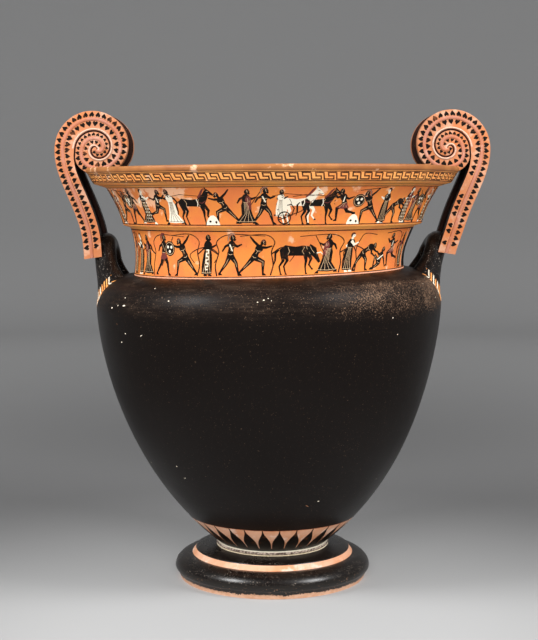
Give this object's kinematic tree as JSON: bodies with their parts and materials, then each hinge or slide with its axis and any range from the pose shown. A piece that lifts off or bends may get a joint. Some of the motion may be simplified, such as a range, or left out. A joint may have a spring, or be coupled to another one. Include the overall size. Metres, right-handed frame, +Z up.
{
  "type": "volute krater",
  "caption": "Large fired-clay mixing bowl with an offset neck, a stepped disc foot and two scrolled strap handles that rise over the rim; stands on its foot.",
  "frame": {"origin": "centre of the foot's underside, on the surface that the krater stands on", "axes": "+Z up along the pot's turning axis, +X towards one handle, the front faces -Y"},
  "size_m": [0.5488, 0.478, 0.6003],
  "materials": {
    "painted_clay": "black gloss slip over orange fired clay, with reserved and painted bands"
  },
  "bodies": {
    "root": {"krater": "painted_clay"}
  },
  "joints": []
}
